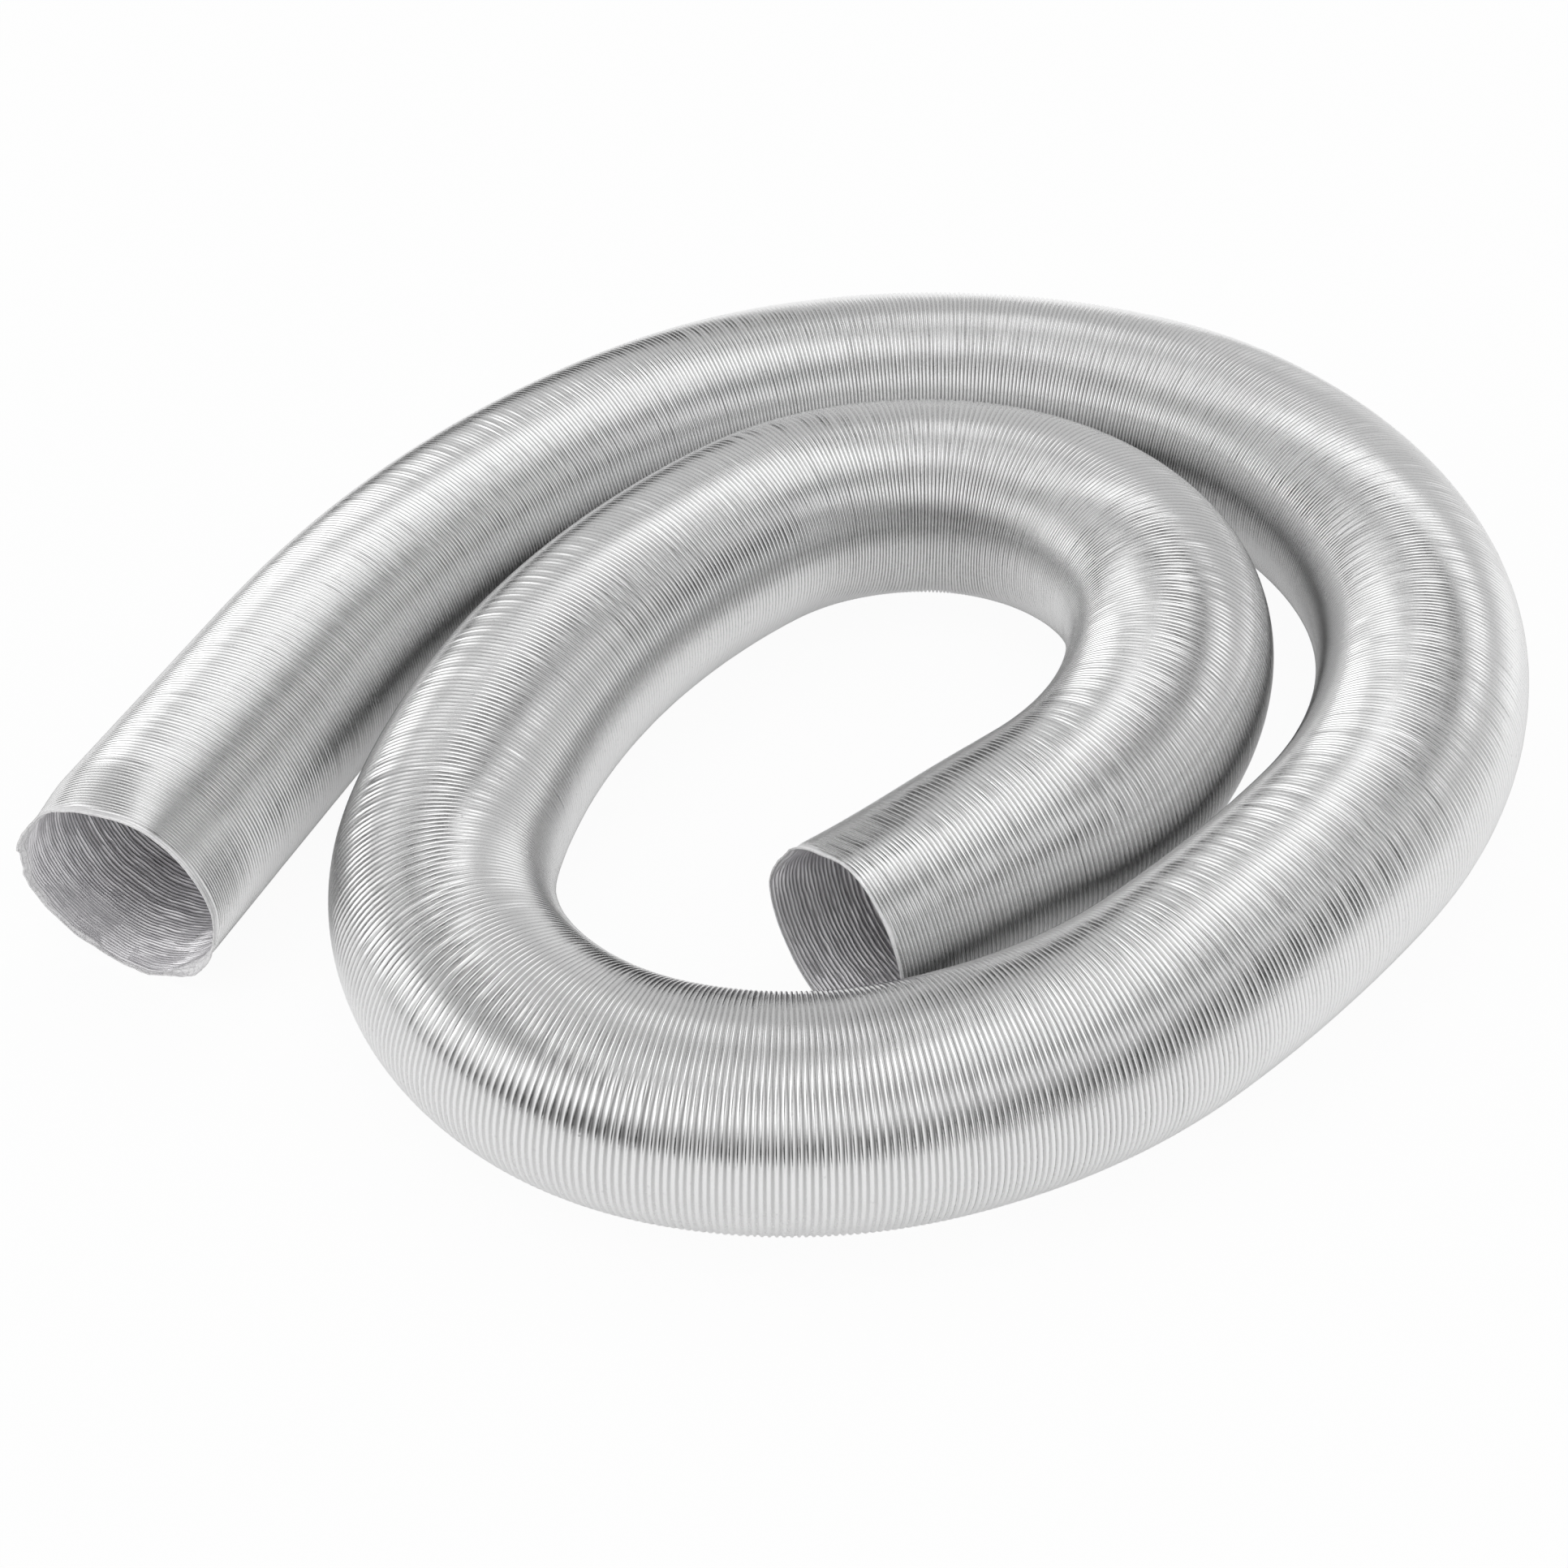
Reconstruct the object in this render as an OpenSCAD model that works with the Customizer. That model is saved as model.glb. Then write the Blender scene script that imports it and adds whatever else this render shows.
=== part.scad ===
// Flexible warm-air duct: a finely pleated three-ply tube, cut by hand at both ends
// and laid down in one and a half flat turns, loop beside loop.
// The plies are bonded together. They are drawn one by one where a cut end shows them,
// and as one laminated wall where the duct bends. The pleats are drawn as coarser ribs.

/* [Duct] */
// Inside diameter, which slips over a round spigot
bore_d = 80; // [70:1:90]
// Thickness of the outer foil ply
outer_foil_t = 0.1; // [0.06:0.01:0.16]
// Thickness of the kraft paper ply
paper_t = 0.3; // [0.2:0.01:0.4]
// Thickness of the inner foil ply
inner_foil_t = 0.1; // [0.06:0.01:0.16]
// Height of a rib above the valley beside it
rib_height = 0.75; // [0.6:0.01:0.9]
// Distance from one rib to the next
rib_pitch = 13.5; // [13.5:0.5:20]

/* [Ends] */
// Length of the outer mouth's cuff, which a band clamp holds
mouth_len = 48; // [30:1:60]
// Length of the pleats behind the cuff that pull open
stretch_len = 48; // [30:1:60]

/* [Lay] */
// Least gap between two loops that lie side by side
lay_gap = 0.6; // [0.5:0.1:3]
// Depth of the flat that the pleats press into where they lie on the floor
floor_cut = 0.5; // [0.3:0.05:0.5]

/* [Hidden] */
$fn = 96;

// The lay, from the outer mouth inwards, as it is drawn: one row a stretch, with its
// length in mm and its turn in degrees, clockwise below zero, seen from above. The duct
// is laid along it at the scale that brings its loops lay_gap apart.
ROUTE = [
  [132, 0],
  [96, -13],
  [105, -15.5],
  [250, -64.5],
  [35, -15.5],
  [185, -59],
  [110, -28.5],
  [100, -9],
  [105, -26],
  [85, -30.5],
  [170, -85],
  [225, -40.5],
  [95, -48.5],
  [125, -77.5],
  [35, -16.5],
  [120, -42],
  [84, 0]
];
START_HEADING = 67;
OUTER_BEND = 1;                 // the stretch of the route that bends aside near the outer mouth
INNER_BEND = len(ROUTE) - 2;    // and the one near the inner mouth
INNER_END = len(ROUTE) - 1;

SIDES = 12;                     // flats round a bent stretch of duct
BORE_SAG = 0.3;                 // how far a straight step of the bore may cut a bend's corner
GAP_STEP = 4;                   // spacing of the points that the gap between loops is measured on
LOOP_LEN = 250;                 // points further apart along the duct lie on different loops

bore_r = bore_d / 2;
paper_r = bore_r + inner_foil_t;
outer_foil_r = paper_r + paper_t;
valley_r = outer_foil_r + outer_foil_t;
crest_r = valley_r + rib_height;
centre_z = crest_r - floor_cut;

foil_colour = "#c6c9cd";
paper_colour = "#c9a876";
laminate_colour = "#b9bcc1";

// --- the route ---------------------------------------------------------------------

function turn_of(i) = ROUTE[i][1];

// Straight distance across an arc of length l that turns by t degrees
function chord(l, t) = t == 0 ? l : 2 * l / (t * PI / 180) * sin(t / 2);

// The point and heading after l mm of an arc that starts at p with heading a
function after_arc(p, l, t) =
  let (way = p[2] + t / 2)
  [p[0] + chord(l, t) * cos(way), p[1] + chord(l, t) * sin(way), p[2] + t];

// [x, y, heading] at the start of each stretch as drawn, and of the end of the last
function starts(i = 0, p = [0, 0, START_HEADING]) =
  i == len(ROUTE) ? [p]
  : concat([p], starts(i + 1, after_arc(p, ROUTE[i][0], turn_of(i))));

// Distance along the drawn centre line to the start of each stretch, and to the end
function stations(i = 0, s = 0) =
  i == len(ROUTE) ? [s] : concat([s], stations(i + 1, s + ROUTE[i][0]));

DRAWN_START = starts();
DRAWN_STATION = stations();
drawn_len = DRAWN_STATION[len(ROUTE)];

// The stretch that holds station s of the drawn line
function stretch_at(s, i = 0) =
  i == len(ROUTE) - 1 || s < DRAWN_STATION[i + 1] ? i : stretch_at(s, i + 1);

// [x, y, heading] at station s of the drawn line
function drawn_pose(s) =
  let (i = stretch_at(s), l = s - DRAWN_STATION[i])
  after_arc(DRAWN_START[i], l, turn_of(i) * l / ROUTE[i][0]);

drawn_points = concat([for (s = [0:GAP_STEP:drawn_len]) drawn_pose(s)], [drawn_pose(drawn_len)]);

// Least distance between points of a centre line that lie on different loops
function least_spacing(points) =
  let (apart = ceil(LOOP_LEN / GAP_STEP), last = len(points) - 1)
  min([
    for (i = [0:last - apart]) for (j = [i + apart:last])
      norm([points[i][0] - points[j][0], points[i][1] - points[j][1]])
  ]);

lay_scale = (2 * crest_r + lay_gap) / least_spacing(drawn_points);
STATION = DRAWN_STATION * lay_scale;
duct_len = STATION[len(ROUTE)];

function stretch_len_of(i) = STATION[i + 1] - STATION[i];
function radius_of(i) = stretch_len_of(i) / abs(turn_of(i)) * 180 / PI;

// [x, y, heading] of the laid centre line, before the duct is centred
function to_size(p) = [p[0] * lay_scale, p[1] * lay_scale, p[2]];

laid_points = [for (p = drawn_points) to_size(p)];
edge_points = [
  for (p = laid_points) for (side = [-1, 1])
    [p[0] - side * crest_r * sin(p[2]), p[1] + side * crest_r * cos(p[2])]
];
edge_x = [for (p = edge_points) p[0]];
edge_y = [for (p = edge_points) p[1]];
middle = [(min(edge_x) + max(edge_x)) / 2, (min(edge_y) + max(edge_y)) / 2];

// [x, y, heading] at station s in the part's own frame, whose origin is on the floor
// under the middle
function pose(s) =
  let (p = to_size(drawn_pose(s / lay_scale)))
  [p[0] - middle[0], p[1] - middle[1], p[2]];

loop_gap = least_spacing(laid_points) - 2 * crest_r;

run_len = stretch_len_of(0) - mouth_len - stretch_len;
stretch_station = mouth_len;
run_station = mouth_len + stretch_len;

// --- walls -------------------------------------------------------------------------

// A whole number of ribs fills any length of duct
function ribs_in(length) = max(1, round(length / rib_pitch));

// Outline of a straight wall, as [radius, distance along]: a plain bore and a ribbed outside
function ribbed_outline(length, inner_r) =
  let (n = 2 * ribs_in(length))
  concat(
    [[inner_r, length], [inner_r, 0]],
    [for (k = [0:n]) [k % 2 == 0 ? valley_r : crest_r, k * length / n]]
  );

module lay_at(station) {
  p = pose(station);
  translate([p[0], p[1], centre_z]) rotate([0, 90, p[2]]) children();
}

module below_floor() {
  span = 2 * norm([max(edge_x) - min(edge_x), max(edge_y) - min(edge_y)]);
  translate([-span / 2, -span / 2, -2 * floor_cut]) cube([span, span, 2 * floor_cut]);
}

module plain_ply(station, length, inner_r, thickness) {
  lay_at(station)
    rotate_extrude() translate([inner_r, 0]) square([thickness, length]);
}

module ribbed_ply(station, length, inner_r) {
  difference() {
    lay_at(station) rotate_extrude() polygon(ribbed_outline(length, inner_r));
    below_floor();
  }
}

// A ring of points round the centre line at station s, with flats at distance r
function ring(s, r) =
  let (p = pose(s), corner = r / cos(180 / SIDES))
  [
    for (k = [0:SIDES - 1])
      let (a = 360 * (k + 0.5) / SIDES)
      [
        p[0] - corner * cos(a) * sin(p[2]),
        p[1] + corner * cos(a) * cos(p[2]),
        centre_z + corner * sin(a)
      ]
  ];

// Stations of the bore's rings: each stretch is cut into equal steps, short enough
// for the step to follow the bend
function bore_steps(i) =
  turn_of(i) == 0 ? 1 : ceil(stretch_len_of(i) / sqrt(8 * radius_of(i) * BORE_SAG));
function bore_stations(first, last) = concat(
  [
    for (i = [first:last]) for (k = [0:bore_steps(i) - 1])
      STATION[i] + k * stretch_len_of(i) / bore_steps(i)
  ],
  [STATION[last + 1]]
);

// Two triangles for each side of the skin between ring a and ring b of a point list
function band(a, b) = [
  for (k = [0:SIDES - 1])
    let (m = (k + 1) % SIDES)
    each [[a + k, b + k, b + m], [a + k, b + m, a + m]]
];

// The laminated wall of stretches first to last: ribs outside, a plain bore inside
module bent_wall(first, last) {
  length = STATION[last + 1] - STATION[first];
  n = 2 * ribs_in(length);
  outside = [
    for (k = [0:n]) ring(STATION[first] + k * length / n, k % 2 == 0 ? valley_r : crest_r)
  ];
  bore = [for (s = bore_stations(first, last)) ring(s, bore_r)];
  rings = concat(outside, bore);
  bore_first = len(outside) * SIDES;
  bore_last = (len(rings) - 1) * SIDES;
  faces = [
    for (k = [0:n - 1]) each band(k * SIDES, (k + 1) * SIDES),
    for (k = [0:len(bore) - 2]) each band(bore_first + (k + 1) * SIDES, bore_first + k * SIDES),
    each band(bore_first, 0),
    each band(n * SIDES, bore_last)
  ];
  echo(wall_from = first, ribs = n / 2, triangles = len(faces));
  difference() {
    polyhedron([for (r = rings) each r], faces);
    below_floor();
  }
}

// --- pieces ------------------------------------------------------------------------

module mouth_outer_foil() {
  color(foil_colour) ribbed_ply(0, mouth_len, outer_foil_r);
}

module mouth_kraft_paper() {
  color(paper_colour) plain_ply(0, mouth_len, paper_r, paper_t);
}

module mouth_inner_foil() {
  color(foil_colour) plain_ply(0, mouth_len, bore_r, inner_foil_t);
}

module stretch_pleats() {
  color(laminate_colour) ribbed_ply(stretch_station, stretch_len, bore_r);
}

module run_outer_foil() {
  color(foil_colour) ribbed_ply(run_station, run_len, outer_foil_r);
}

module run_kraft_paper() {
  color(paper_colour) plain_ply(run_station, run_len, paper_r, paper_t);
}

module run_inner_foil() {
  color(foil_colour) plain_ply(run_station, run_len, bore_r, inner_foil_t);
}

module outer_bend() {
  color(laminate_colour) bent_wall(OUTER_BEND, OUTER_BEND);
}

module coil() {
  color(foil_colour) bent_wall(OUTER_BEND + 1, INNER_BEND - 1);
}

module inner_bend() {
  color(laminate_colour) bent_wall(INNER_BEND, INNER_BEND);
}

module inner_end_outer_foil() {
  color(foil_colour)
    ribbed_ply(STATION[INNER_END], stretch_len_of(INNER_END), outer_foil_r);
}

module inner_end_kraft_paper() {
  color(paper_colour)
    plain_ply(STATION[INNER_END], stretch_len_of(INNER_END), paper_r, paper_t);
}

module inner_end_inner_foil() {
  color(foil_colour)
    plain_ply(STATION[INNER_END], stretch_len_of(INNER_END), bore_r, inner_foil_t);
}

echo(duct_length = duct_len, outside_diameter = 2 * crest_r);
echo(gap_between_loops = loop_gap);
echo(outer_mouth = pose(0), outer_bend_pivot = pose((STATION[1] + STATION[2]) / 2));
echo(inner_mouth = pose(duct_len));
echo(inner_bend_pivot = pose((STATION[INNER_BEND] + STATION[INNER_END]) / 2));
echo(centre_height = centre_z, middle = middle);

mouth_outer_foil();
mouth_kraft_paper();
mouth_inner_foil();
stretch_pleats();
run_outer_foil();
run_kraft_paper();
run_inner_foil();
outer_bend();
coil();
inner_bend();
inner_end_outer_foil();
inner_end_kraft_paper();
inner_end_inner_foil();
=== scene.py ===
"""The looks of a laid-out flexible air duct: three bonded plies, pleated every two
millimetres, cut by hand at both ends. Sizes are in millimetres until a mesh is written."""

import math

import bpy
import numpy as np
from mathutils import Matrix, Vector


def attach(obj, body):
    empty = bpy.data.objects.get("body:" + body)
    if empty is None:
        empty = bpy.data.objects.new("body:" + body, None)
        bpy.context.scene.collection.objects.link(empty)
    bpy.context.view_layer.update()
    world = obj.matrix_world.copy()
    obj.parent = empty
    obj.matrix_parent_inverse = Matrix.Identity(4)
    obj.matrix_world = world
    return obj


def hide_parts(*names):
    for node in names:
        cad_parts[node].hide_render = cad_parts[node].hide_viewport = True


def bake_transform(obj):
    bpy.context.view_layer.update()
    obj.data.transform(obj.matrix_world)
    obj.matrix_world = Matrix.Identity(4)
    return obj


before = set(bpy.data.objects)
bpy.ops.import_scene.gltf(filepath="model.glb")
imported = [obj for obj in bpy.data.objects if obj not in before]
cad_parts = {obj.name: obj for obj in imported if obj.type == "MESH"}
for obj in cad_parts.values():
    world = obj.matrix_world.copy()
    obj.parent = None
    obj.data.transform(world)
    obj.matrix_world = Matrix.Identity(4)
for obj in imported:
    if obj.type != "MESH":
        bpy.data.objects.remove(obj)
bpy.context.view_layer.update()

MM = 0.001
TAU = 2 * math.pi

# --- sizes ---------------------------------------------------------------------------

CREST_R = 41.25             # radius at the top of a pleat
CENTRE_Z = 40.75            # height of the centre line: the lowest crests are pressed flat
WALL = 0.3                  # the three plies together
FOIL = 0.07                 # each foil ply
BOND = 0.02                 # the adhesive between a foil and the paper
FOLD_LEN = 2.8              # length of one pleat's wall when it is pulled flat
SHALLOWEST = 0.35           # least height of a pleat, where the duct bends outwards most
CREST_HALF = 0.2            # half the crest's width, as a share of a straight pleat
FLANK_END = 0.38            # where the flank meets the valley, as a share of a straight pleat
CREST_MOST = 0.27           # the most that each can be of a pleat that a bend has closed up
FLANK_MOST = 0.41
LEVELS = (0.0, 0.1, 0.78, 1.0, 0.78, 0.1)   # height of a pleat's rings, valley first
ROWS = len(LEVELS)

# The lay, from the outer mouth inwards: length along the centre line and turn in
# degrees, clockwise below zero.
ROUTE = [
    (132, 0), (96, -13), (105, -15.5), (250, -64.5), (35, -15.5), (185, -59),
    (110, -28.5), (100, -9), (105, -26), (85, -30.5), (170, -85), (225, -40.5),
    (95, -48.5), (125, -77.5), (35, -16.5), (120, -42), (84, 0),
]
START_HEADING = 67.0
STEP = 0.5                  # spacing of the points of the centre line
EASING = 40.0               # length over which one bend goes over into the next

# How many pleats lie on a millimetre of centre line, at stations along the duct
DENSITY = [
    (0, 0.86), (15, 0.86), (32, 0.62), (125, 0.60), (250, 0.531), (830, 0.52), (1070, 0.51),
    (1240, 0.465), (1485, 0.476), (1815, 0.485), (2020, 0.507), (2035, 0.60), (2057, 0.62),
]

CUFF_END = 48.0
STRETCH_END = 96.0
STRETCH_ENDS = np.cumsum([row[0] for row in ROUTE]).astype(float)
DUCT_LEN = STRETCH_ENDS[-1]
RUN_END = STRETCH_ENDS[0]
OUTER_BEND_END = STRETCH_ENDS[1]
INNER_BEND_START = STRETCH_ENDS[-3]
INNER_END_START = STRETCH_ENDS[-2]

# --- the centre line -----------------------------------------------------------------


def running_sum(values):
    """The integral of values over the centre line's points, by trapezia."""
    steps = (values[1:] + values[:-1]) / 2 * STEP
    return np.concatenate([[0.0], np.cumsum(steps)])


def walk(bend):
    """Place and heading along a line of that curvature: the heading is the running sum
    of the curvature, and the place that of the heading's direction."""
    heading = math.radians(START_HEADING) + running_sum(bend)
    return running_sum(np.cos(heading)), running_sum(np.sin(heading)), heading


def lay_centre_line():
    """Station, x, y, heading and curvature along the duct. Each stretch is an arc whose
    curvature is its turn over its length. The curvature is softened with a raised
    cosine where stretches meet, and the small drift of the far end that this brings is
    taken back evenly along the way. The middle of the duct's box is the origin."""
    station = np.arange(0.0, DUCT_LEN + STEP / 2, STEP)
    per_mm = np.radians([turn / length for length, turn in ROUTE])
    stretch = np.searchsorted(STRETCH_ENDS, station, side="right").clip(max=len(ROUTE) - 1)
    hard = per_mm[stretch]
    half = int(EASING / STEP / 2)
    window = 1 + np.cos(np.linspace(-math.pi, math.pi, 2 * half + 1))
    soft = np.convolve(np.pad(hard, half, mode="edge"), window / window.sum(), "valid")
    hard_x, hard_y, hard_heading = walk(hard)
    x, y, heading = walk(soft)
    x += (hard_x[-1] - x[-1]) * station / DUCT_LEN
    y += (hard_y[-1] - y[-1]) * station / DUCT_LEN
    left = np.array([-np.sin(hard_heading), np.cos(hard_heading)]) * CREST_R
    edges = np.concatenate([[hard_x, hard_y] + left, [hard_x, hard_y] - left], axis=1)
    middle = (edges.min(axis=1) + edges.max(axis=1)) / 2
    return station, x - middle[0], y - middle[1], heading, soft


LINE_S, LINE_X, LINE_Y, LINE_HEADING, LINE_BEND = lay_centre_line()


def wall_points(station, theta, radius):
    """Points of the wall, in metres: the centre line's place at the station, plus radius
    times the cosine of theta to the left of the way and the sine of theta upwards.
    Beyond its ends the line goes straight on. Nothing goes lower than the floor."""
    heading = np.interp(station, LINE_S, LINE_HEADING)
    side = radius * np.cos(theta)
    beyond = station - np.clip(station, 0, DUCT_LEN)
    x = np.interp(station, LINE_S, LINE_X) + beyond * np.cos(heading) - side * np.sin(heading)
    y = np.interp(station, LINE_S, LINE_Y) + beyond * np.sin(heading) + side * np.cos(heading)
    z = np.maximum(CENTRE_Z + radius * np.sin(theta), CREST_R - radius)
    return np.stack([x, y, z], axis=-1) * MM


# --- unevenness ----------------------------------------------------------------------


def smoothstep(x):
    x = np.clip(x, 0, 1)
    return x * x * (3 - 2 * x)


def wander(station, theta, cell, spots, seed, steep=1.0):
    """Smooth random height from -1 to 1 over the wall: random numbers on a lattice with
    a row every cell mm along the duct and that many spots round it, joined by a
    smoothstep. A steep one has flat plateaus round the duct, with a step between."""
    rows = int(DUCT_LEN / cell) + 4
    lattice = np.random.default_rng(seed).uniform(-1, 1, (rows, spots))
    along = np.clip(station, 0, DUCT_LEN) / cell + 1
    around = theta / TAU * spots
    row, column = np.floor(along).astype(int), np.floor(around).astype(int)
    u, v = along - row, around - column
    u, v = smoothstep(u), smoothstep((v - 0.5) * steep + 0.5)
    here, beside = column % spots, (column + 1) % spots
    near = lattice[row, here] * (1 - v) + lattice[row, beside] * v
    far = lattice[row + 1, here] * (1 - v) + lattice[row + 1, beside] * v
    return near * (1 - u) + far * u


def lay_pleats():
    """Stations of the valleys between pleats: where the running sum of the density passes
    a whole number, each moved a little at random, and stretched to fill the duct."""
    stations, per_mm = np.array(DENSITY).T
    count = running_sum(np.interp(LINE_S, stations, per_mm))
    whole = round(count[-1])
    number = np.arange(whole + 1.0)
    number[1:-1] += np.random.default_rng(11).uniform(-0.04, 0.04, whole - 1)
    return np.interp(number * count[-1] / whole, count, LINE_S)


VALLEYS = lay_pleats()


def pleat_at(station):
    """Number of the valley nearest to a station."""
    return int(np.abs(VALLEYS - station).argmin())


# --- the ends, as cut by hand ----------------------------------------------------------

LIP_LEN = 7.0               # how far from the cut the knife and the hand have bent the wall
SLANT_LEN = 30.0            # how far from the cut the pleats fan out for its slant
GROOVE_FILL = 0.6           # how much the bore's foil bridges the grooves between ridges
BREAK_AT = 248.0            # degrees round the outer mouth's bore where its ridges break

# Places round a mouth: the middle and half the width, in degrees
SMOOTH_LIP = (128, 62)      # where the outer mouth's lip is smooth
ON_FLOOR = (270, 30)        # where the floor keeps a lip from flaring

# How each end is pressed in at its top: the depth in mm at the cut, the middle and half
# the width in degrees, and how many mm along the duct it fades over
OUTER_HOLLOW = (3.0, 62, 40, 22)
INNER_HOLLOW = (6.0, 130, 42, 100)

# How far each cut reaches past a square one: the mean in mm, how far it goes above and
# below that round the duct, and the side in degrees where it reaches furthest
OUTER_SLANT = (1.5, 1.1, 45)
INNER_SLANT = (0.3, 0.3, 150)

# Places where the outer cut reaches further, or less far: mm, middle and half the width
OUTER_FLAPS = [(1.4, 235, 38), (-1.2, 312, 30)]

# Width in mm of the strip that is pressed flat, at degrees round the mouth. It is widest
# where a flap of it was folded over.
OUTER_LIP = [
    (0, 5.0), (35, 5.5), (75, 4.2), (110, 2.6), (185, 2.4), (205, 4.0), (222, 9.0),
    (240, 5.0), (255, 3.0), (285, 2.4), (320, 2.0), (345, 3.5), (360, 5.0),
]
INNER_LIP = [
    (0, 2.4), (12, 1.2), (30, 1.0), (40, 2.6), (52, 1.0), (80, 1.0), (105, 2.2),
    (130, 4.5), (160, 4.0), (190, 1.8), (270, 1.4), (330, 1.2), (360, 2.4),
]


def from_cut(station):
    """Distance to the nearer cut end."""
    return np.minimum(station, DUCT_LEN - station)


def either_end(station, outer, inner):
    """One value in the outer half of the duct, and another in the inner half."""
    return np.where(station < DUCT_LEN / 2, outer, inner)


def end_station(station):
    """A station in the middle of the nearer lip, for noise that changes only round it."""
    return either_end(station, 10.0, DUCT_LEN - 10.0)


def near_angle(theta, middle, half):
    """1 round an angle in degrees and 0 from half degrees away, with a soft edge."""
    off = np.abs((theta - math.radians(middle) + math.pi) % TAU - math.pi)
    return smoothstep(1.5 - off / math.radians(half))


def crumple_of(station, theta):
    """How crumpled the lip is round the mouth, from 0 to 1. The outer mouth's lip is
    nearly smooth over its upper right, and the inner mouth's is crumpled in places."""
    outer = 1 - 0.94 * near_angle(theta, *SMOOTH_LIP)
    inner = 0.5 + 0.5 * wander(end_station(station), theta, 30, 9, 20)
    return either_end(station, outer, inner)


def lip_width(station, theta):
    """Width of the pressed strip, a little wider and narrower at random."""
    degrees = np.degrees(theta) % 360
    outer = np.interp(degrees, *np.array(OUTER_LIP, float).T)
    inner = np.interp(degrees, *np.array(INNER_LIP, float).T)
    uneven = 1 + 0.3 * wander(end_station(station), theta, 50, 23, 21)
    return either_end(station, outer, inner) * uneven


def lip_share(station, theta):
    """1 at the cut, falling to 0 where the pleats stand up again."""
    width = lip_width(station, theta)
    return 1 - smoothstep((from_cut(station) - 0.4 * width) / width)


def edge_share(station, theta):
    """1 at the cut, falling to 0 over most of the strip's width."""
    return 1 - smoothstep(from_cut(station) / (0.8 * lip_width(station, theta)))


def hollow(station, theta, depth, middle, half, reach):
    """A soft hollow at one side of a mouth, fading along the duct."""
    return depth * near_angle(theta, middle, half) * (1 - smoothstep(from_cut(station) / reach))


def pressed_in(station, theta):
    """How far each end is pressed in at its top: a little at the outer mouth, and along
    the whole straight inner end."""
    outer = hollow(station, theta, *OUTER_HOLLOW)
    inner = hollow(station, theta, *INNER_HOLLOW)
    return either_end(station, outer, inner)


def slanted(theta, mean, swing, furthest):
    """How far a slanted cut reaches past a square one, in mm."""
    return mean + swing * np.cos(theta - math.radians(furthest))


def cut_shift(station, theta):
    """How far along the duct the ragged cut lies from a square one. Small waves and a
    few deeper nicks with steep sides fade over the lip. The cut also slants: the duct
    is a few mm longer on one side, and its last pleats fan out there."""
    nearer_end = end_station(station)
    rough = 0.5 + 0.5 * wander(nearer_end, theta, 20, 47, 22)
    nick = smoothstep((wander(nearer_end, theta, 20, 21, 23, steep=2.5) - 0.35) / 0.3)
    back = 0.1 + (0.7 * rough + 1.4 * nick) * crumple_of(station, theta)
    outer = slanted(theta, *OUTER_SLANT)
    for reach, middle, half in OUTER_FLAPS:
        outer = outer + reach * near_angle(theta, middle, half)
    slant = either_end(station, outer, slanted(theta, *INNER_SLANT))
    fade = 1 - smoothstep(from_cut(station) / LIP_LEN)
    far_fade = 1 - smoothstep(from_cut(station) / SLANT_LEN)
    return (back * fade - slant * far_fade) * either_end(station, 1.0, -1.0)


def creased(station, theta, cell, spots, seed):
    """Crumpled foil from 0 to 1: flat facets that meet in sharp creases, as the lower
    envelope of two noises' distances from their own middle."""
    first = np.abs(wander(station, theta, cell, spots, seed))
    second = np.abs(wander(station, theta, cell * 1.7, spots // 2, seed + 1))
    return 1 - np.minimum(first * 1.6, second * 2.2).clip(0, 1)


# --- the pleated wall ------------------------------------------------------------------

SWAY = 0.3                  # mm that a pleat wanders along the duct, round it
SWAY_FROM = 20.0            # the sway has come in this far from a cut
LEAN = 0.05                 # how far a crest leans over, as a share of its pleat
UNEVEN = 0.14               # how much the pleats' height varies, as a share
FLARE = 0.33                # how far a crumpled lip flares, as a share of its width
DENT = 0.25                 # depth in mm of the long soft dents
DIMPLE = 0.06               # depth in mm of the small dimples
LIP_FOLD = 0.6              # depth in mm of the creases in a crumpled lip

# The crinkled foil of the bore, in mm
RIDGE_STEP = 0.25           # how far a ridge jumps along the duct at a long crease
RIDGE_KINKS = (0.18, 0.28)  # its small kinks, in the outer half and the inner half
SPECK = 0.6                 # height of the sharp specks on the ridges
RIDGE_UNEVEN = 0.2          # how much the ridges' height varies
LIP_BEAD = 0.3              # how much thicker the wall is at the cut
CALM_FROM = 4.0             # the crinkle has come in this far from a cut


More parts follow.
